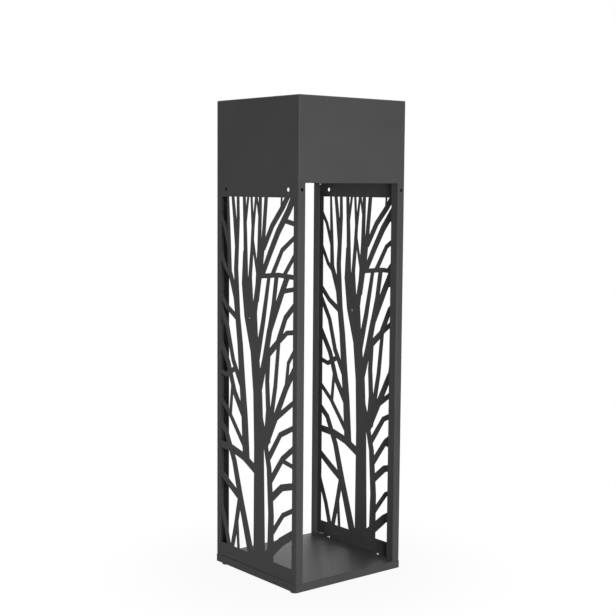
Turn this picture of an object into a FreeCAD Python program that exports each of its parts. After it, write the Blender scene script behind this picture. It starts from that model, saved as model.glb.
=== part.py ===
import FreeCAD, Part
import math
import os

from FreeCAD import Vector

# Firewood rack with a planter on top, folded from sheet steel. Millimetres.
# X runs left to right, the open front looks along -Y, Z is up.
# The origin is the middle of the footprint, on the ground.

# Overall size
WIDTH = 340.0
DEPTH = 335.0
HEIGHT = 1200.0
PLANTER_HEIGHT = 205.0
BASE_HEIGHT = 20.0
FOOT_SHOW = 5.5

# Sheet and folds
SHEET = 1.5
BEND_INSIDE = 1.5
RELIEF_WIDTH = 2.0
RELIEF_DEPTH = 4.0

# Side panels: each edge is folded twice, so that it makes a hollow post
POST_FACE = 22.0
POST_LIP = 24.0
FLANGE = 22.0
FLANGE_END_GAP = 3.0
TAB_CLEARANCE = 2.0
FACE_HOLE = 10.0
FACE_HOLE_INSET = 40.0
POST_HOLE = 8.0
HOLE_DROP = 17.0

# Cut-out field of the tree: solid margins round it, and the smallest opening worth cutting
SIDE_MARGIN = 18.0
TOP_MARGIN = 36.0
FOOT_MARGIN = 36.0
SMALLEST_OPENING = 40.0

# Planter
RIM = 12.0
RIM_CORNER = 5.0
DRAIN_HOLE = 10.0
DRAIN_SPACING = 160.0

# Fasteners: M5 button-head screws
SCREW = 5.0
SCREW_SPACING = 200.0
SCREW_CLEARANCE = 0.3
THREAD_CLEARANCE = 0.08
SCREW_END = 1.5
HEAD = 9.5
HEAD_HEIGHT = 2.75
HEAD_TOP = 4.4
SOCKET_FLATS = 3.0
SOCKET_DEPTH = 1.6
WASHER = 10.0
WASHER_THICK = 1.0
NUT_FLATS = 8.0
NUT_HEIGHT = 4.0

# Glides pushed into the base from below, in the mouths of the hollow posts
FOOT_INSET = 13.5
FOOT_END_INSET = 23.5
FOOT_WALL_GAP = 0.5
FOOT_EDGE = 1.2
FOOT_STEM = 8.0
FOOT_STEM_CLEARANCE = 0.2
FOOT_BARB = 0.6
FOOT_TIP = 5.0
FOOT_TIP_HEIGHT = 6.0

# Flat sides that stand in for a round one, on the hidden fasteners and on the glides
FASTENER_SIDES = 12
GLIDE_SIDES = 16

# Branches of the tree, as tapering strips: width at the root, width at the tip and the path.
# A path point is (from rear to front, from foot to top) as shares of the cut-out field,
# and a path that leaves the field grows into the solid margin.
TRUNK = [
    (48, 30, [(0.56, -0.03), (0.555, 0.16), (0.55, 0.31), (0.53, 0.46), (0.48, 0.59), (0.46, 0.70)]),
    (26, 14, [(0.71, -0.03), (0.72, 0.13), (0.69, 0.26), (0.62, 0.35), (0.54, 0.43)]),
]
CROWN = [
    (20, 11, [(0.44, 0.67), (0.36, 0.78), (0.35, 0.90), (0.33, 1.03)]),
    (8, 8, [(0.345, 0.91), (0.405, 1.03)]),
    (16, 11, [(0.45, 0.66), (0.42, 0.78), (0.445, 0.86), (0.462, 0.94)]),
    (9, 8, [(0.457, 0.90), (0.43, 1.03)]),
    (9, 7, [(0.455, 0.90), (0.51, 1.03)]),
    (20, 11, [(0.47, 0.66), (0.525, 0.76), (0.545, 0.86), (0.56, 1.03)]),
    (9, 9, [(0.52, 0.79), (0.45, 0.89)]),
    (7, 6, [(0.56, 0.92), (0.49, 1.03)]),
    (15, 13, [(0.515, 0.715), (0.575, 0.82), (0.605, 0.90), (0.645, 1.03)]),
]
REAR_SIDE = [
    (26, 16, [(0.47, -0.03), (0.30, 0.14), (0.20, 0.25), (0.08, 0.33), (-0.03, 0.36)]),
    (22, 18, [(0.52, 0.24), (0.34, 0.27), (0.17, 0.285), (-0.03, 0.29)]),
    (20, 17, [(0.28, 0.15), (0.13, 0.18), (-0.03, 0.215)]),
    (16, 14, [(0.15, -0.03), (0.07, 0.06), (-0.03, 0.14)]),
    (15, 16, [(0.15, -0.03), (0.22, 0.06), (0.285, 0.155)]),
    (10, 10, [(0.27, -0.03), (0.24, 0.09)]),
    (28, 20, [(0.372, 0.265), (0.345, 0.39), (0.31, 0.49), (0.28, 0.59), (0.22, 0.72)]),
    (20, 15, [(0.247, 0.66), (0.22, 0.80), (0.24, 0.91)]),
    (15, 11, [(0.23, 0.86), (0.20, 0.94), (0.16, 1.03)]),
    (14, 10, [(0.232, 0.85), (0.25, 0.94), (0.245, 1.03)]),
    (18, 16, [(0.345, 0.38), (0.20, 0.45), (0.11, 0.53), (-0.03, 0.60)]),
    (16, 14, [(0.32, 0.46), (0.18, 0.54), (0.10, 0.63), (-0.03, 0.70)]),
    (14, 12, [(0.20, 0.515), (0.08, 0.495), (-0.03, 0.505)]),
    (20, 14, [(0.49, 0.545), (0.37, 0.67), (0.33, 0.76), (0.345, 0.85)]),
    (15, 13, [(0.24, 0.66), (0.09, 0.69), (-0.03, 0.73)]),
    (20, 6, [(0.23, 0.71), (0.13, 0.79), (0.12, 0.88), (0.10, 1.03)]),
    (11, 10, [(0.125, 0.85), (0.05, 0.92), (-0.03, 0.96)]),
    (12, 10, [(0.15, 0.775), (0.07, 0.80), (-0.03, 0.86)]),
    (14, 12, [(0.37, 0.29), (0.13, 0.385), (-0.03, 0.43)]),
    (12, 10, [(0.14, 0.38), (0.17, 0.47)]),
]
FRONT_SIDE = [
    (26, 20, [(0.63, 0.00), (0.86, 0.065), (1.03, 0.10)]),
    (14, 12, [(0.70, 0.065), (0.88, 0.14), (1.03, 0.165)]),
    (19, 17, [(0.70, 0.17), (0.86, 0.215), (1.03, 0.23)]),
    (16, 14, [(0.70, 0.22), (0.87, 0.295), (1.03, 0.335)]),
    (12, 11, [(0.87, 0.29), (1.03, 0.28)]),
    (16, 13, [(0.67, 0.28), (0.84, 0.36), (1.03, 0.39)]),
    (20, 16, [(0.64, 0.32), (0.80, 0.42), (0.91, 0.49), (1.03, 0.55)]),
    (14, 12, [(0.77, 0.40), (0.90, 0.43), (1.03, 0.46)]),
    (18, 15, [(0.65, 0.33), (0.675, 0.42), (0.66, 0.50), (0.68, 0.59)]),
    (17, 12, [(0.675, 0.33), (0.77, 0.49), (0.815, 0.62)]),
    (12, 10, [(0.91, 0.485), (0.94, 0.56), (1.03, 0.60)]),
    (22, 18, [(0.54, 0.46), (0.63, 0.56), (0.69, 0.64), (0.84, 0.74), (0.92, 0.79)]),
    (18, 14, [(0.66, 0.57), (0.80, 0.61), (0.90, 0.68), (1.03, 0.72)]),
    (13, 12, [(0.80, 0.61), (0.92, 0.64), (1.03, 0.645)]),
    (20, 12, [(0.51, 0.54), (0.60, 0.66), (0.65, 0.74), (0.68, 0.79)]),
    (15, 15, [(0.66, 0.61), (0.74, 0.71), (0.78, 0.79)]),
    (12, 11, [(0.86, 0.75), (1.03, 0.76)]),
    (12, 12, [(0.56, 0.785), (0.80, 0.793), (1.03, 0.79)]),
    (15, 16, [(0.60, 0.86), (0.72, 0.925), (0.85, 0.972), (0.98, 1.03)]),
    (6, 6, [(0.835, 0.97), (0.848, 1.03)]),
    (16, 20, [(0.58, 0.785), (0.69, 0.85), (0.80, 0.91), (0.93, 0.965), (1.03, 1.02)]),
    (12, 12, [(0.87, 0.94), (1.03, 0.93)]),
    (14, 11, [(0.72, 0.79), (0.85, 0.86), (1.03, 0.90)]),
    (12, 11, [(0.87, 0.79), (1.03, 0.855)]),
]

# Places that several pieces share
bend_outside = BEND_INSIDE + SHEET
through = 4 * SHEET
base_floor = FOOT_SHOW + BASE_HEIGHT
planter_floor = HEIGHT - PLANTER_HEIGHT
panel_height = planter_floor - base_floor
screw_line = (bend_outside + FLANGE) / 2
tab_reach = POST_FACE - SHEET - TAB_CLEARANCE
tab_length = POST_LIP - bend_outside - RELIEF_WIDTH
tab_middle = DEPTH / 2 - POST_LIP + tab_length / 2
screw_hole = SCREW / 2 + SCREW_CLEARANCE


def block(x_range, y_range, z_range):
    """Box between two values on each axis."""
    size = [high - low for low, high in (x_range, y_range, z_range)]
    return Part.makeBox(*size, Vector(x_range[0], y_range[0], z_range[0]))


def round_edges(solid, radius, keep):
    """Round the straight edges for which keep(start, end) is true."""
    edges = [edge for edge in solid.Edges if keep(edge.Vertexes[0].Point, edge.Vertexes[-1].Point)]
    return solid.makeFillet(radius, edges)


def upright(start, end):
    """True for an edge that stands up."""
    return abs(start.z - end.z) > 1e-6


def folded_box(inset, low, high, radius, is_fold):
    """Block of the overall plan less an inset, rounded along its folds. The welded edges stay sharp."""
    half_x = WIDTH / 2 - inset
    half_y = DEPTH / 2 - inset
    solid = block((-half_x, half_x), (-half_y, half_y), (low, high))
    return round_edges(solid, radius, is_fold)


def drilled(solid, diameter, places, axis, depth):
    """Cut a round hole at each place, centred there and running depth along the axis, half each way."""
    tools = [
        Part.makeCylinder(diameter / 2, depth, place - axis * (depth / 2), axis) for place in places
    ]
    return solid.cut(tools)


def base_screw_places(level):
    """The screw axes of the left panel's joint with the base, in its flange."""
    x = -WIDTH / 2 + screw_line
    return [Vector(x, side * SCREW_SPACING / 2, level) for side in (-1, 1)]


def planter_screw_places(level):
    """The screw axes of the left panel's joint with the planter, one in the tab of each post."""
    x = -WIDTH / 2 + POST_FACE / 2
    return [Vector(x, side * tab_middle, level) for side in (-1, 1)]


def both_sides(places):
    """Places on the left and their mirror images on the right."""
    return places + [Vector(-place.x, place.y, place.z) for place in places]


def foot_places():
    """Axis of each glide, on the ground, by the name of its corner."""
    x = WIDTH / 2 - FOOT_INSET
    y = DEPTH / 2 - FOOT_END_INSET
    return {
        "front_left": Vector(-x, -y, 0),
        "front_right": Vector(x, -y, 0),
        "rear_left": Vector(-x, y, 0),
        "rear_right": Vector(x, y, 0),
    }


def make_base_pan():
    """Shallow pan turned over: its floor carries the wood and its walls stand clear of the ground."""
    def is_fold(start, end):
        return min(start.z, end.z) > base_floor - 2 * SHEET

    outside = folded_box(0, FOOT_SHOW, base_floor, bend_outside, is_fold)
    inside = folded_box(SHEET, FOOT_SHOW, base_floor - SHEET, BEND_INSIDE, is_fold)
    pan = outside.cut(inside)
    up = Vector(0, 0, 1)
    pan = drilled(pan, 2 * screw_hole, both_sides(base_screw_places(base_floor)), up, through)
    stem_hole = FOOT_STEM + 2 * FOOT_STEM_CLEARANCE
    stems = [place + up * base_floor for place in foot_places().values()]
    return drilled(pan, stem_hole, stems, up, through)


def make_planter_box():
    """Open-topped box, flush with the panels. Its walls turn inwards as a rim and its floor is welded in."""
    floor_top = planter_floor + SHEET
    rim_bottom = HEIGHT - SHEET

    def is_fold(start, end):
        return max(start.z, end.z) > floor_top + SHEET

    outside = folded_box(0, planter_floor, HEIGHT, bend_outside, is_fold)
    inside = folded_box(SHEET, floor_top, rim_bottom, BEND_INSIDE, upright)
    half_x = WIDTH / 2 - RIM
    half_y = DEPTH / 2 - RIM
    mouth = block((-half_x, half_x), (-half_y, half_y), (rim_bottom - SHEET, HEIGHT + SHEET))
    mouth = round_edges(mouth, RIM_CORNER, upright)
    box = outside.cut([inside, mouth])
    up = Vector(0, 0, 1)
    box = drilled(box, 2 * screw_hole, both_sides(planter_screw_places(planter_floor)), up, through)
    half = DRAIN_SPACING / 2
    drains = [Vector(x, y, planter_floor) for x in (-half, half) for y in (-half, half)]
    return drilled(box, DRAIN_HOLE, drains, up, through)


def strip_outline(root_width, tip_width, path):
    """Closed outline of a strip that tapers evenly along its path of (y, z) points."""
    steps = [path[i + 1].sub(path[i]) for i in range(len(path) - 1)]
    run = [0.0]
    for step in steps:
        run.append(run[-1] + step.Length)
    left = []
    right = []
    for i, point in enumerate(path):
        before = steps[max(i - 1, 0)]
        after = steps[min(i, len(steps) - 1)]
        along = Vector(before).normalize() + Vector(after).normalize()
        along.normalize()
        across = Vector(0, -along.z, along.y)
        half = (root_width + (tip_width - root_width) * run[i] / run[-1]) / 2
        left.append(point + across * half)
        right.append(point - across * half)
    outline = left + right[::-1]
    return Part.Face(Part.makePolygon(outline + outline[:1]))


def tree_openings():
    """What is left of the cut-out field between the branches, as flat faces in the plane x = 0."""
    rear = DEPTH / 2 - SIDE_MARGIN
    across = DEPTH - 2 * SIDE_MARGIN
    up = panel_height - TOP_MARGIN - FOOT_MARGIN
    corners = [(rear, FOOT_MARGIN), (rear, FOOT_MARGIN + up)]
    corners += [(rear - across, FOOT_MARGIN + up), (rear - across, FOOT_MARGIN)]
    outline = [Vector(0, y, z) for y, z in corners + corners[:1]]
    field = Part.Face(Part.makePolygon(outline))
    strips = []
    for root_width, tip_width, path in TRUNK + CROWN + REAR_SIDE + FRONT_SIDE:
        points = [Vector(0, rear - u * across, FOOT_MARGIN + v * up) for u, v in path]
        strips.append(strip_outline(root_width, tip_width, points))
    rest = field.cut(strips).removeSplitter()
    return [face for face in rest.Faces if face.Area > SMALLEST_OPENING]


def make_channel():
    """Tall sheet with both edges folded twice: the face, two post faces and two lips."""
    half = DEPTH / 2
    levels = (0, panel_height)
    outside = round_edges(block((0, POST_FACE), (-half, half), levels), bend_outside, upright)
    hollow = block((SHEET, POST_FACE - SHEET), (SHEET - half, half - SHEET), levels)
    hollow = round_edges(hollow, BEND_INSIDE, upright)
    between_lips = half - POST_LIP
    mouth = block((POST_FACE / 2, POST_FACE + SHEET), (-between_lips, between_lips), levels)
    return outside.cut([hollow, mouth])


def bent_strip(reach, length):
    """Strip along Y that bends from the plane x = 0 into the plane z = 0 and reaches out along +X."""
    centre = bend_outside
    turn = math.cos(math.pi / 4)
    outer_middle = centre - centre * turn
    inner_middle = centre - BEND_INSIDE * turn
    outer = [Vector(0, 0, centre), Vector(outer_middle, 0, outer_middle), Vector(centre, 0, 0)]
    inner = [Vector(centre, 0, SHEET), Vector(inner_middle, 0, inner_middle), Vector(SHEET, 0, centre)]
    edges = [
        Part.Arc(*outer).toShape(),
        Part.makeLine(outer[2], Vector(reach, 0, 0)),
        Part.makeLine(Vector(reach, 0, 0), Vector(reach, 0, SHEET)),
        Part.makeLine(Vector(reach, 0, SHEET), inner[0]),
        Part.Arc(*inner).toShape(),
        Part.makeLine(inner[2], outer[0]),
    ]
    section = Part.Face(Part.Wire(edges))
    section.translate(Vector(0, -length / 2, 0))
    return section.extrude(Vector(0, length, 0))


def fold_slots(length, relief_sides):
    """What a bent strip takes out of its sheet: the place of its bend and a relief at each side named."""
    half = length / 2
    slots = [block((-SHEET, 2 * SHEET), (-half, half), (0, bend_outside))]
    for side in relief_sides:
        y_range = sorted((side * half, side * (half + RELIEF_WIDTH)))
        slots.append(block((-SHEET, 2 * SHEET), y_range, (0, RELIEF_DEPTH)))
    return slots


def at_post_top(solid, side):
    """Turn a fold over and move it to the top of the lip of one post."""
    solid.rotate(Vector(0, 0, 0), Vector(0, 1, 0), 180)
    solid.translate(Vector(POST_FACE, side * tab_middle, panel_height))
    return solid


def make_side_panel():
    """Left side panel: the tree cut through its face, a flange at its foot and a tab on top of each post."""
    stem_end = FOOT_END_INSET + FOOT_STEM / 2 + FOOT_BARB
    flange_length = DEPTH - 2 * (stem_end + FLANGE_END_GAP)
    folds = [bent_strip(FLANGE, flange_length)]
    slots = fold_slots(flange_length, (-1, 1))
    for side in (-1, 1):
        folds.append(at_post_top(bent_strip(tab_reach, tab_length), side))
        slots += [at_post_top(slot, side) for slot in fold_slots(tab_length, (side,))]
    panel = make_channel().cut(slots).fuse(folds).removeSplitter()
    openings = [face.extrude(Vector(through, 0, 0)) for face in tree_openings()]
    for opening in openings:
        opening.translate(Vector(-through / 2, 0, 0))
    panel = panel.cut(openings)

    level = panel_height - HOLE_DROP
    face_y = DEPTH / 2 - FACE_HOLE_INSET
    face_holes = [Vector(0, side * face_y, level) for side in (-1, 1)]
    panel = drilled(panel, FACE_HOLE, face_holes, Vector(1, 0, 0), through)
    post_holes = [Vector(POST_FACE / 2, side * DEPTH / 2, level) for side in (-1, 1)]
    panel = drilled(panel, POST_HOLE, post_holes, Vector(0, 1, 0), through)

    panel.translate(Vector(-WIDTH / 2, 0, base_floor))
    screws = base_screw_places(base_floor) + planter_screw_places(planter_floor)
    return drilled(panel, 2 * screw_hole, screws, Vector(0, 0, 1), through)


def ring(radius, height, sides):
    """Corners of a level, regular polygon round Z, with the first one repeated at the end."""
    angles = [2 * math.pi * i / sides for i in range(sides)]
    corners = [Vector(radius * math.cos(a), radius * math.sin(a), height) for a in angles]
    return corners + corners[:1]


def taper(low_radius, low, high_radius, high, sides=FASTENER_SIDES):
    """Many-sided stand-in for a cone round Z: flat faces between two polygons."""
    foot = ring(low_radius, low, sides)
    top = ring(high_radius, high, sides)
    outlines = [[foot[i], foot[i + 1], top[i + 1], top[i], foot[i]] for i in range(sides)]
    outlines += [foot[::-1], top]
    faces = [Part.Face(Part.makePolygon(outline)) for outline in outlines]
    return Part.Solid(Part.Shell(faces))


def prism(radius, low, high, sides=FASTENER_SIDES):
    """Upright prism round Z by the radius of its corners."""
    return taper(radius, low, radius, high, sides)


def hexagon(flats, low, high):
    """Six-sided prism by its width across flats."""
    return prism(flats / 2 / math.cos(math.pi / 6), low, high, 6)


def make_screw():
    """Button-head screw with its head below z = 0 and its shank along +Z."""
    length = 2 * SHEET + WASHER_THICK + NUT_HEIGHT + SCREW_END
    head = taper(HEAD_TOP / 2, -HEAD_HEIGHT, HEAD / 2, 0)
    socket = hexagon(SOCKET_FLATS, -HEAD_HEIGHT, SOCKET_DEPTH - HEAD_HEIGHT)
    return head.cut(socket).fuse(prism(SCREW / 2, 0, length))


def make_washer():
    """Flat washer on the far side of the two sheets."""
    low = 2 * SHEET
    high = low + WASHER_THICK
    return prism(WASHER / 2, low, high).cut(prism(screw_hole, low, high))


def make_nut():
    """Hexagon nut on the washer."""
    low = 2 * SHEET + WASHER_THICK
    high = low + NUT_HEIGHT
    return hexagon(NUT_FLATS, low, high).cut(prism(SCREW / 2 + THREAD_CLEARANCE, low, high))


def make_foot():
    """Push-in glide: a round pad under the base floor and a barbed stem through it."""
    radius = FOOT_INSET - bend_outside - FOOT_WALL_GAP
    seat = base_floor - SHEET
    tip = base_floor + FOOT_TIP_HEIGHT
    edge = taper(radius - FOOT_EDGE, 0, radius, FOOT_EDGE, GLIDE_SIDES)
    pad = prism(radius, FOOT_EDGE, seat, GLIDE_SIDES)
    stem = prism(FOOT_STEM / 2, seat, base_floor, GLIDE_SIDES)
    barb = taper(FOOT_STEM / 2 + FOOT_BARB, base_floor, FOOT_TIP / 2, tip, GLIDE_SIDES)
    return pad.fuse([edge, stem, barb])


def placed(solid, place, upside_down):
    """A copy of a fastener at a place, turned over when its head is on top."""
    copy = solid.copy()
    if upside_down:
        copy.rotate(Vector(0, 0, 0), Vector(1, 0, 0), 180)
    copy.translate(place)
    return copy


def joint_fasteners():
    """Screws, washers and nuts of the four joints, each kind as one group per joint."""
    kinds = {"screws": make_screw(), "washers": make_washer(), "nuts": make_nut()}
    joints = {
        "base": (base_screw_places(base_floor + SHEET), True),
        "planter": (planter_screw_places(planter_floor - SHEET), False),
    }
    groups = {}
    for joint, (left, upside_down) in joints.items():
        right = both_sides(left)[len(left):]
        for side, places in (("left", left), ("right", right)):
            for kind, solid in kinds.items():
                copies = [placed(solid, place, upside_down) for place in places]
                groups[f"{side}_{joint}_{kind}"] = Part.makeCompound(copies)
    return groups


def build():
    """Every piece of the rack by its node name."""
    left_panel = make_side_panel()
    pieces = {
        "base_pan": make_base_pan(),
        "side_panel_left": left_panel,
        "side_panel_right": left_panel.mirror(Vector(0, 0, 0), Vector(1, 0, 0)),
        "planter_box": make_planter_box(),
    }
    foot = make_foot()
    for corner, place in foot_places().items():
        pieces[f"foot_{corner}"] = placed(foot, place, False)
    pieces.update(joint_fasteners())
    return pieces


os.makedirs("parts", exist_ok=True)
for node, shape in build().items():
    shape.exportStep(f"parts/{node}.step")
    box = shape.BoundBox
    print(f"{node}: {len(shape.Solids)} solid, {shape.Volume / 1000:.1f} cm3, valid {shape.isValid()},",
          f"z {box.ZMin:.1f} to {box.ZMax:.1f}")
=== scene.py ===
# %% [markdown]
# # A firewood rack with a planter on top
# The real rack is folded from thin sheet steel: a shallow base, two side panels with a tree cut right
# through them, and an open planter box on top. Its CAD model already has those shapes at their real size.
# This lesson adds what a CAD model leaves out: the powder coat and the softened edges it gives, real
# screws, moulded glides, a studio and a camera. Everything is in metres, with Z up and the open front
# looking along -Y.

import math

import bmesh
import bpy
from mathutils import Matrix, Vector


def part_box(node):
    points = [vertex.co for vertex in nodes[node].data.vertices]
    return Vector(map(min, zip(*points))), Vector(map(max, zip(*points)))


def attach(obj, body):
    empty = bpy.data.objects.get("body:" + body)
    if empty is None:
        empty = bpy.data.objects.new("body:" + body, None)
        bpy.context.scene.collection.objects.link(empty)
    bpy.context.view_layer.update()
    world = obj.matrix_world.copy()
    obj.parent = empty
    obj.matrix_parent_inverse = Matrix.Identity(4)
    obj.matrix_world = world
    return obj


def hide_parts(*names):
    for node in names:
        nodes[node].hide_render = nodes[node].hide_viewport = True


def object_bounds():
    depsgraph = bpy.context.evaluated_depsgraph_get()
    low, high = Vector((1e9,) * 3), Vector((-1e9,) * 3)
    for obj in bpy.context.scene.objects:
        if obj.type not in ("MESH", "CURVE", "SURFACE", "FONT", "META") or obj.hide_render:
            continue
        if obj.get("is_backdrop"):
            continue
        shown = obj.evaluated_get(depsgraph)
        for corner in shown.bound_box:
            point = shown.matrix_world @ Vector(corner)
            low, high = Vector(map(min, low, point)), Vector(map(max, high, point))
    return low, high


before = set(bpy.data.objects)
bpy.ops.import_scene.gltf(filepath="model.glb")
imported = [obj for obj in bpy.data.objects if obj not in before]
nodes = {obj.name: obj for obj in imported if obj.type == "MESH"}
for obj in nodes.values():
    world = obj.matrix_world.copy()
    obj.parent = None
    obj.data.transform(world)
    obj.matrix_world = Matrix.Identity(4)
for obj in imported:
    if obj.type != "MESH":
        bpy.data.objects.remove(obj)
cad_low, cad_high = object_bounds()
print(f"{len(nodes)} CAD pieces, box {[round(v, 3) for v in cad_high - cad_low]} m")

# %% [markdown]
# ## Small tools
# Drawings of sheet metal are in millimetres and the colours of a coat come as hex values, while Blender
# works in metres and in linear light. Two short functions turn one into the other, so the rest of the
# lesson can be written in the units that a workshop uses.

# %% Units and colours
MM = 0.001


def linear(hex_colour):
    """The linear RGBA of an sRGB hex colour."""
    shares = [int(hex_colour[i:i + 2], 16) / 255 for i in (1, 3, 5)]
    return [s / 12.92 if s <= 0.04045 else ((s + 0.055) / 1.055) ** 2.4 for s in shares] + [1.0]


def per_metre(size_mm):
    """Scale of a texture whose features are about this wide."""
    return 1 / (size_mm * MM)


print("mid grey in linear light:", round(linear("#808080")[0], 3))

# %% [markdown]
# A material here is a handful of nodes. One function adds a node, sets its options and values and joins its
# inputs to other nodes, which keeps each recipe readable from top to bottom.

# %% One way to add a node


def add(tree, kind, links=None, values=None, **options):
    """Add a shader node with its options, input values and links."""
    node = tree.nodes.new("ShaderNode" + kind)
    for name, value in options.items():
        setattr(node, name, value)
    for name, value in (values or {}).items():
        node.inputs[name].default_value = value
    for name, socket in (links or {}).items():
        tree.links.new(socket, node.inputs[name])
    return node


def new_material(name):
    """An empty node material, with its tree, its Principled shader and its coordinates in metres."""
    material = bpy.data.materials.new(name)
    material.use_nodes = True
    tree = material.node_tree
    shader = tree.nodes["Principled BSDF"]
    metres = add(tree, "TexCoord").outputs["Object"]
    return material, tree, shader, metres


print("nodes are added by", add.__name__)

# %% [markdown]
# ## Anthracite powder coat
# The steel is coated with polyester powder: it is sprayed on dry, clings to the sheet and melts into a skin
# of about 0.08 mm in an oven. A matt, fine-structure powder gives the eye an even dark grey with no mirror
# image, a grain like fine sandpaper and a very gentle waviness where the melt levelled. It could be one
# dark colour with high roughness, but then a close view looks like a toy. Here noise at three real sizes
# makes the tone, the waviness and the grain.

# %% Powder coat
GRAIN_MM = 0.9          # the real grain is about 0.3 mm; drawn coarser, so that a close view shows it
GRAIN_DEPTH = 0.06 * MM
WAVE_MM = 6.0
WAVE_DEPTH = 0.15 * MM
CLOUD_MM = 140.0


def anthracite_powder_coat():
    """Matt fine-structure polyester powder coat on steel."""
    material, tree, shader, metres = new_material("anthracite_powder_coat")
    cloud = add(tree, "TexNoise", {"Vector": metres}, {"Scale": per_metre(CLOUD_MM), "Detail": 3.0})
    grain = add(tree, "TexNoise", {"Vector": metres}, {"Scale": per_metre(GRAIN_MM), "Detail": 2.0})
    wave = add(tree, "TexNoise", {"Vector": metres}, {"Scale": per_metre(WAVE_MM), "Detail": 1.0})

    tone = add(tree, "ValToRGB", {"Fac": cloud.outputs["Fac"]})
    tone.color_ramp.elements[0].position = 0.3
    tone.color_ramp.elements[0].color = linear("#3e3e3e")
    tone.color_ramp.elements[1].position = 0.7
    tone.color_ramp.elements[1].color = linear("#434343")
    tree.links.new(tone.outputs["Color"], shader.inputs["Base Color"])

    gloss = add(tree, "MapRange", {"Value": grain.outputs["Fac"]},
                {"From Min": 0.3, "From Max": 0.7, "To Min": 0.52, "To Max": 0.66})
    tree.links.new(gloss.outputs["Result"], shader.inputs["Roughness"])

    waviness = add(tree, "Bump", {"Height": wave.outputs["Fac"]}, {"Strength": 0.12, "Distance": WAVE_DEPTH})
    skin = add(tree, "Bump", {"Height": grain.outputs["Fac"], "Normal": waviness.outputs["Normal"]},
               {"Strength": 0.35, "Distance": GRAIN_DEPTH})
    tree.links.new(skin.outputs["Normal"], shader.inputs["Normal"])
    shader.inputs["Specular IOR Level"].default_value = 0.25
    return material


coat = anthracite_powder_coat()
print("made", coat.name)

# %% [markdown]
# ## Zinc-plated steel
# Screws, washers and nuts are bought in, so they are not anthracite: they are steel with a thin
# electroplated zinc layer and a clear passivation. That gives a pale, slightly bluish metal with soft
# reflections and a faint mottling. It could be a picture wrapped round each piece, but that needs
# unwrapping and shows its seams. Here one fine noise drives both the colour and the low, uneven roughness
# of a full metal.

# %% Zinc plating
MOTTLE_MM = 2.5


def zinc_plated_steel():
    """Bright zinc with a clear blue passivation."""
    material, tree, shader, metres = new_material("zinc_plated_steel")
    mottle = add(tree, "TexNoise", {"Vector": metres}, {"Scale": per_metre(MOTTLE_MM), "Detail": 4.0})
    tint = add(tree, "ValToRGB", {"Fac": mottle.outputs["Fac"]})
    tint.color_ramp.elements[0].position = 0.35
    tint.color_ramp.elements[0].color = linear("#a9aeb3")
    tint.color_ramp.elements[1].position = 0.65
    tint.color_ramp.elements[1].color = linear("#c3c6c8")
    tree.links.new(tint.outputs["Color"], shader.inputs["Base Color"])
    sheen = add(tree, "MapRange", {"Value": mottle.outputs["Fac"]}, {"To Min": 0.26, "To Max": 0.44})
    tree.links.new(sheen.outputs["Result"], shader.inputs["Roughness"])
    shader.inputs["Metallic"].default_value = 1.0
    return material


zinc = zinc_plated_steel()
print("made", zinc.name)

# %% [markdown]
# ## Black polyethylene
# The glides under the base are injection moulded. Polyethylene is waxy: nearly black with carbon, a broad
# dull shine, and the fine spark-eroded grain of its mould. One flat black would lose its shape in the
# shadow under the base, so a fine noise varies the tone, the gloss and the bump together.

# %% Moulded plastic
MOULD_GRAIN_MM = 0.5
MOULD_GRAIN_DEPTH = 0.05 * MM


def black_polyethylene():
    """Waxy black moulded plastic."""
    material, tree, shader, metres = new_material("black_polyethylene")
    grain = add(tree, "TexNoise", {"Vector": metres}, {"Scale": per_metre(MOULD_GRAIN_MM), "Detail": 2.0})
    tone = add(tree, "ValToRGB", {"Fac": grain.outputs["Fac"]})
    tone.color_ramp.elements[0].color = linear("#121212")
    tone.color_ramp.elements[1].color = linear("#1c1c1c")
    tree.links.new(tone.outputs["Color"], shader.inputs["Base Color"])
    gloss = add(tree, "MapRange", {"Value": grain.outputs["Fac"]}, {"To Min": 0.42, "To Max": 0.6})
    tree.links.new(gloss.outputs["Result"], shader.inputs["Roughness"])
    skin = add(tree, "Bump", {"Height": grain.outputs["Fac"]},
               {"Strength": 0.2, "Distance": MOULD_GRAIN_DEPTH})
    tree.links.new(skin.outputs["Normal"], shader.inputs["Normal"])
    shader.inputs["IOR"].default_value = 1.51
    return material


polyethylene = black_polyethylene()
print("made", polyethylene.name)

# %% [markdown]
# ## The sheet-metal pieces
# Base, panels and planter keep their CAD meshes, because their shapes are right. A laser leaves knife-sharp
# edges and the melting powder draws back from them a little and rounds them. The CAD mesh comes in as loose
# triangles. So a Weld modifier joins them first, and a Decimate modifier makes whole flats of them, because
# a bevel would turn over the thinnest ones. A Bevel modifier then rounds every sharp edge, and the real
# folds, already curved, stay as they are.

# %% Coat the sheet metal
EDGE_RADIUS = 0.12 * MM
SHARP = math.radians(35)
JOIN = 0.01 * MM
FLAT = math.radians(0.5)
SHEET_PIECES = ["base_pan", "side_panel_left", "side_panel_right", "planter_box"]


def dress(node, material):
    """Give a CAD piece its finish."""
    piece = nodes[node]
    piece.data.materials.clear()
    piece.data.materials.append(material)
    return piece


for node in SHEET_PIECES:
    piece = dress(node, coat)
    piece.modifiers.new("joined_faces", "WELD").merge_threshold = JOIN
    flats = piece.modifiers.new("whole_flats", "DECIMATE")
    flats.decimate_type = "DISSOLVE"
    flats.angle_limit = FLAT
    rounding = piece.modifiers.new("coated_edges", "BEVEL")
    rounding.width = EDGE_RADIUS
    rounding.segments = 2
    rounding.limit_method = "ANGLE"
    rounding.angle_limit = SHARP
    rounding.use_clamp_overlap = False
print("coated", ", ".join(SHEET_PIECES))

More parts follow.
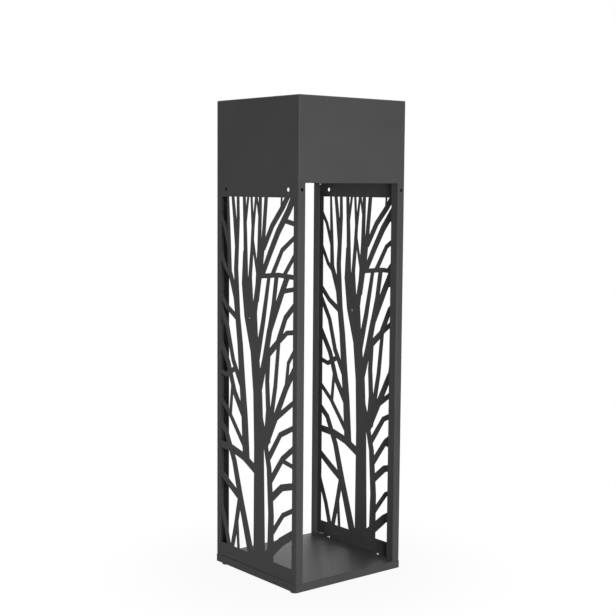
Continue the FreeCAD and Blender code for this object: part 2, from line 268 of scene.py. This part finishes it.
# %% [markdown]
# ## Turned and hexagonal pieces
# Screws, washers, nuts and glides are all rings of points stacked along one axis. The rings could be
# circles only, as on a lathe, but a hexagon nut and a hexagon socket need six flats. So each ring here is a
# height and a rule that gives its radius at an angle: a circle, a hexagon, or a hexagon trimmed by a circle
# for the chamfer of a nut.

# %% Rings
SIDES = 48


def circle(radius):
    """Radius rule of a circle."""
    return lambda angle: radius


def hexagon(flats, limit=math.inf):
    """Radius rule of a hexagon by its width across flats, no further out than a limit."""
    def rule(angle):
        from_flat = (angle + math.pi / 6) % (math.pi / 3) - math.pi / 6
        return min(flats / 2 / math.cos(from_flat), limit)
    return rule


def arc(centre, radius, start, end, steps):
    """Rings along a quarter or so of a round edge, by angles from the outward direction to the top."""
    turns = [start + (end - start) * i / steps for i in range(steps + 1)]
    return [(centre[1] + radius * math.sin(t), circle(centre[0] + radius * math.cos(t))) for t in turns]


def stack(mesh, rings, place, closed=False):
    """Add skins between rings of (height, radius rule) in millimetres, closed at the ends or into a ring."""
    angles = [2 * math.pi * i / SIDES for i in range(SIDES)]
    rows = []
    for height, rule in rings:
        points = [(rule(a) * math.cos(a) * MM, rule(a) * math.sin(a) * MM, height * MM) for a in angles]
        rows.append([mesh.verts.new(place @ Vector(point)) for point in points])
    pairs = list(zip(rows, rows[1:] + rows[:1])) if closed else list(zip(rows, rows[1:]))
    for low, high in pairs:
        for i in range(SIDES):
            j = (i + 1) % SIDES
            mesh.faces.new((low[i], low[j], high[j], high[i]))
    if not closed:
        mesh.faces.new(rows[0][::-1])
        mesh.faces.new(rows[-1])


print(f"rings of {SIDES} points")

# %% [markdown]
# ## From points to a piece
# A new piece has to ride on the rack's one body, and the CAD piece that it takes the place of is hidden. Its
# material slot lets a later scene repaint it. Smooth shading with a limit on the angle keeps flats flat and
# domes round.

# %% Finish a piece
SMOOTH_BELOW = math.radians(32)


def finish_piece(mesh, name, material, node):
    """Turn points and faces into a smooth-shaded piece on the rack that stands for a CAD node."""
    bmesh.ops.recalc_face_normals(mesh, faces=mesh.faces)
    data = bpy.data.meshes.new(name)
    mesh.to_mesh(data)
    mesh.free()
    data.materials.append(material)
    data.shade_smooth()
    data.set_sharp_from_angle(angle=SMOOTH_BELOW)
    piece = bpy.data.objects.new(name, data)
    bpy.context.scene.collection.objects.link(piece)
    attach(piece, "root")
    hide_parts(node)
    print(f"{name}: {len(data.polygons)} faces")


print(f"smooth below {math.degrees(SMOOTH_BELOW):.0f} degrees")

# %% [markdown]
# ## Button-head screws
# Each panel is held by M5 screws with a low domed head and a hexagon socket: two go through its flange into
# the base and one through the tab on top of each post into the planter floor. The CAD screws are
# twelve-sided and plain. Here the head gets its dome, its socket with a drill point, and the end that
# stands out of the nut gets a real helix: the radius of each ring depends on its height and its angle
# together. Only that end is threaded, as the nut hides the rest.

# %% Screw sizes
SCREW_R = 2.5
HEAD_R = 4.75
HEAD_HEIGHT = 2.75
HEAD_RIM = 0.45
HEAD_FLAT_R = 2.35
DOME_STEPS = 7
SOCKET = 3.0
SOCKET_DEPTH = 1.6
SOCKET_CHAMFER = 0.12
SOCKET_MOUTH = 3.3
DRILL_POINT = 0.5
DRILL_POINT_R = 0.2
SHANK = 9.5
PITCH = 0.8
RINGS_PER_TURN = 8
THREAD_DEPTH = 0.42
THREADED = 2.6
TIP = 0.45
TIP_R = 1.93


def thread(height):
    """Radius rule of a ring that cuts a right-hand thread at a height."""
    def rule(angle):
        turn = (height / PITCH - angle / (2 * math.pi)) % 1
        return SCREW_R - THREAD_DEPTH * abs(2 * turn - 1)
    return rule


def screw_rings():
    """From the bottom of the socket, over the dome, down the shank to the tip."""
    socket_floor = SOCKET_DEPTH - HEAD_HEIGHT
    rings = [(socket_floor + DRILL_POINT, circle(DRILL_POINT_R)), (socket_floor, hexagon(SOCKET))]
    rings.append((SOCKET_CHAMFER - HEAD_HEIGHT, hexagon(SOCKET)))
    rings.append((-HEAD_HEIGHT, hexagon(SOCKET_MOUTH)))
    for i in range(DOME_STEPS + 1):
        turn = math.pi / 2 * i / DOME_STEPS
        radius = HEAD_FLAT_R + (HEAD_R - HEAD_FLAT_R) * math.sin(turn)
        rings.append((-HEAD_RIM - (HEAD_HEIGHT - HEAD_RIM) * math.cos(turn), circle(radius)))
    rings += [(0, circle(HEAD_R)), (0, circle(SCREW_R))]
    start = SHANK - THREADED
    steps = round((THREADED - TIP) / PITCH * RINGS_PER_TURN)
    heights = [start + (THREADED - TIP) * i / steps for i in range(steps + 1)]
    rings += [(start, circle(SCREW_R))] + [(height, thread(height)) for height in heights[1:]]
    rings.append((SHANK, circle(TIP_R)))
    return rings


print(f"{len(screw_rings())} rings in a screw")

# %% [markdown]
# The CAD boxes say where the screws are: each node holds two, one at each end of its box along Y. In the
# base joints the heads are on top, so the screws are turned over there.

# %% Place the fasteners
JOINTS = {"left_base": True, "right_base": True, "left_planter": False, "right_planter": False}


def places(joint, heads_up):
    """Where the two screws of a joint sit: under the head, on the axis, with the shank along local +Z."""
    low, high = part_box(f"{joint}_screws")
    half = (high.x - low.x) / 2
    seat = high.z - HEAD_HEIGHT * MM if heads_up else low.z + HEAD_HEIGHT * MM
    turn = Matrix.Rotation(math.pi, 4, "X") if heads_up else Matrix.Identity(4)
    spots = [Vector((low.x + half, y, seat)) for y in (low.y + half, high.y - half)]
    return [Matrix.Translation(spot) @ turn for spot in spots]


def fasteners(joint, heads_up, kind, rings, closed):
    """Both screws, washers or nuts of a joint as one piece."""
    mesh = bmesh.new()
    for place in places(joint, heads_up):
        stack(mesh, rings, place, closed)
    name = f"{joint}_{kind}"
    finish_piece(mesh, f"zinc_{name}", zinc, name)


for joint, heads_up in JOINTS.items():
    fasteners(joint, heads_up, "screws", screw_rings(), False)

# %% [markdown]
# ## Washers and nuts
# A washer is punched from strip, so one edge is drawn round by the punch and the other is crisp. A nut is a
# hexagon whose corners are turned off on both faces, which leaves the curved lines that everyone knows from
# a nut. Plain rings with a Bevel modifier would round all their edges alike. So each section is stacked
# once round, with every edge as its tool leaves it.

# %% Washers and nuts
SHEET = 1.5
CLAMPED = 2 * SHEET
WASHER_R = 5.0
WASHER_BORE_R = 2.75
WASHER_THICK = 1.0
PUNCH_ROUND = 0.25
PUNCH_STEPS = 4
NUT_FLATS = 8.0
NUT_HEIGHT = 4.0
NUT_FACE_R = 3.75
NUT_CHAMFER = 0.5
NUT_BORE_R = 2.55
BORE_CHAMFER = 0.3


def washer_rings():
    """Once round the section of a washer, from the inner lower edge outwards."""
    low, high = CLAMPED, CLAMPED + WASHER_THICK
    edge = arc((WASHER_R - PUNCH_ROUND, high - PUNCH_ROUND), PUNCH_ROUND, 0, math.pi / 2, PUNCH_STEPS)
    flat = [(low, circle(WASHER_BORE_R)), (low, circle(WASHER_R))]
    return flat + edge + [(high, circle(WASHER_BORE_R))]


def nut_rings():
    """Once round the section of a nut, from the inner lower edge outwards."""
    low = CLAMPED + WASHER_THICK
    high = low + NUT_HEIGHT
    corner = NUT_FLATS / 2 / math.cos(math.pi / 6)
    outside = []
    for level, inwards in ((low, 1), (high, -1)):
        chamfer = []
        for share in (0.0, 0.5, 1.0):
            limit = NUT_FACE_R + (corner - NUT_FACE_R) * share
            chamfer.append((level + inwards * NUT_CHAMFER * share, hexagon(NUT_FLATS, limit)))
        outside += chamfer if inwards > 0 else chamfer[::-1]
    mouth = circle(NUT_BORE_R + BORE_CHAMFER)
    bore = circle(NUT_BORE_R)
    inside = [(high, mouth), (high - BORE_CHAMFER, bore), (low + BORE_CHAMFER, bore), (low, mouth)]
    return inside + outside


for joint, heads_up in JOINTS.items():
    fasteners(joint, heads_up, "washers", washer_rings(), True)
    fasteners(joint, heads_up, "nuts", nut_rings(), True)

# %% [markdown]
# ## Glides
# Each foot is a push-in glide: a round pad that stands on the floor and a barbed stem that snaps through
# the base. The CAD glides are sixteen-sided. A moulded one is round, with soft edges where it slides, so it
# is stacked again with more points at the same size and place.

# %% Glides
SOLE_ROUND = 1.6
SOLE_STEPS = 6
PAD_ROUND = 0.5
PAD_STEPS = 3
STEM_R = 4.0
BARB = 0.6
STEM_TIP_R = 2.65
STEM_END_R = 2.2
STEM_TIP_ROUND = 0.4


def glide_rings(radius, top):
    """From the middle of the sole, up the pad and the stem to the tip."""
    sheet_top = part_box("base_pan")[1].z / MM
    seat = sheet_top - SHEET
    sole = arc((radius - SOLE_ROUND, SOLE_ROUND), SOLE_ROUND, -math.pi / 2, 0, SOLE_STEPS)
    pad = arc((radius - PAD_ROUND, seat - PAD_ROUND), PAD_ROUND, 0, math.pi / 2, PAD_STEPS)
    stem = [(seat, circle(STEM_R)), (sheet_top, circle(STEM_R)), (sheet_top, circle(STEM_R + BARB))]
    tip = [(top - STEM_TIP_ROUND, circle(STEM_TIP_R)), (top, circle(STEM_END_R))]
    return sole + pad + stem + tip


for corner in ("front_left", "front_right", "rear_left", "rear_right"):
    low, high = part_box(f"foot_{corner}")
    middle = (low + high) / 2
    mesh = bmesh.new()
    rings = glide_rings((high.x - low.x) / 2 / MM, high.z / MM)
    stack(mesh, rings, Matrix.Translation((middle.x, middle.y, low.z)))
    finish_piece(mesh, f"glide_{corner}", polyethylene, f"foot_{corner}")

# %% [markdown]
# ## Studio
# The photograph is taken on white. The backdrop could be a lit wall, but a wall also throws its own light
# on the rack and flattens it. Here the world is white only for what the camera and reflections see, and
# what it adds to the light is kept very low.

# %% World
WORLD_LIGHT = 0.06

scene = bpy.context.scene
scene.view_settings.view_transform = "Standard"
world = bpy.data.worlds.new("white_studio")
scene.world = world
world.use_nodes = True
tree = world.node_tree
tree.nodes.clear()
path = add(tree, "LightPath")
seen = add(tree, "Math", {0: path.outputs["Is Camera Ray"], 1: path.outputs["Is Glossy Ray"]},
           operation="MAXIMUM")
seen = add(tree, "Math", {0: seen.outputs[0], 1: path.outputs["Is Transmission Ray"]}, operation="MAXIMUM")
level = add(tree, "MapRange", {"Value": seen.outputs[0]}, {"To Min": WORLD_LIGHT, "To Max": 1.0})
sky = add(tree, "Background", {"Strength": level.outputs["Result"]}, {"Color": linear("#ffffff")})
add(tree, "OutputWorld", {"Surface": sky.outputs["Background"]})
print("world light", WORLD_LIGHT)

# %% [markdown]
# The rack stands on pale matt paper. A plain lit plane would be grey at its far edge, and a plain white one
# would let the rack float. So the floor keeps a faint shadow close to the rack and turns to plain white
# away from it.

# %% Floor
FLOOR_SIZE = 30.0
SHADOW_NEAR = 0.22
SHADOW_FAR = 0.60
WHITENESS = 0.94


def pale_studio_floor():
    """Matt paper floor that keeps the shadow near the rack and turns to plain white away from it."""
    material, tree, shader, metres = new_material("pale_studio_floor")
    shader.inputs["Base Color"].default_value = linear("#c9c9c8")
    shader.inputs["Roughness"].default_value = 0.9
    shader.inputs["Specular IOR Level"].default_value = 0.1
    path = add(tree, "LightPath")
    distance = add(tree, "VectorMath", {0: metres}, operation="LENGTH")
    limits = {"From Min": SHADOW_NEAR, "From Max": SHADOW_FAR, "To Min": WHITENESS}
    fade = add(tree, "MapRange", {"Value": distance.outputs["Value"]}, limits,
               interpolation_type="SMOOTHSTEP")
    seen = add(tree, "Math", {0: path.outputs["Is Camera Ray"], 1: path.outputs["Is Glossy Ray"]},
               operation="MAXIMUM")
    share = add(tree, "Math", {0: fade.outputs["Result"], 1: seen.outputs[0]}, operation="MULTIPLY")
    white = add(tree, "Emission", values={"Color": linear("#ffffff"), "Strength": 1.0})
    mix = add(tree, "MixShader",
              {0: share.outputs[0], 1: shader.outputs["BSDF"], 2: white.outputs["Emission"]})
    tree.links.new(mix.outputs["Shader"], tree.nodes["Material Output"].inputs["Surface"])
    return material


bpy.ops.mesh.primitive_plane_add(size=FLOOR_SIZE, location=(0, 0, cad_low.z))
floor = bpy.context.object
floor.name = "studio_floor"
floor.data.materials.append(pale_studio_floor())
floor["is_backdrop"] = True
print("floor", FLOOR_SIZE, "m")

# %% [markdown]
# Broad soft light reaches the front of the rack more than its left side, and falls through the open front
# onto the lips of the far posts. One large area lamp, low and a little to the left of the front, gives all
# three. A second one behind keeps the other sides readable. A small one hangs straight above and shows the
# inside of the planter: no wider than the rack, it sheds no light on the outer sides.

# %% Lamps
RACK_MIDDLE = (cad_low + cad_high) / 2


def softbox(name, place, width, height, watts):
    """Area lamp that looks at the middle of the rack."""
    lamp = bpy.data.lights.new(name, "AREA")
    lamp.shape = "RECTANGLE"
    lamp.size = width
    lamp.size_y = height
    lamp.energy = watts
    lamp_object = bpy.data.objects.new(name, lamp)
    scene.collection.objects.link(lamp_object)
    lamp_object.location = place
    lamp_object.rotation_euler = (RACK_MIDDLE - Vector(place)).to_track_quat("-Z", "Y").to_euler()


softbox("key_front_left", place=(-1.1, -3.0, 0.8), width=1.2, height=1.6, watts=93)
softbox("fill_rear_right", place=(2.6, 2.2, 1.4), width=1.6, height=1.8, watts=45)
softbox("top_over_planter", place=(0.0, 0.0, 2.0), width=0.32, height=0.32, watts=9)

# %% [markdown]
# ## Camera
# The picture looks down a little at the rack's left front corner, from about three metres. The place, the
# heading and the lens were found by lining up the corners of the planter, the posts and the base with the
# photograph. The heading turns from the front towards the left side, and the camera is level but for a hair
# of roll.

# %% Camera
CAMERA_PLACE = (-1.972, -2.4343, 0.9859)
HEADING = math.radians(38.96)
TILT = math.radians(-5.638)
ROLL = math.radians(0.431)
LENS_MM = 71.95
SENSOR_MM = 36.0

lens = bpy.data.cameras.new("studio_camera")
lens.lens = LENS_MM
lens.sensor_width = SENSOR_MM
camera = bpy.data.objects.new("studio_camera", lens)
scene.collection.objects.link(camera)
turn = Matrix.Rotation(-HEADING, 4, "Z")
lift = Matrix.Rotation(math.pi / 2 + TILT, 4, "X")
roll = Matrix.Rotation(ROLL, 4, "Z")
camera.matrix_world = Matrix.Translation(CAMERA_PLACE) @ turn @ lift @ roll
scene.camera = camera
print("camera", CAMERA_PLACE, f"{LENS_MM} mm")

# %% [markdown]
# ## Sizes
# Dressing must not change the object's size. The dressed rack's box is measured here, as the CAD model's
# was at the start.

# %% Measure the dressed rack
low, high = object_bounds()
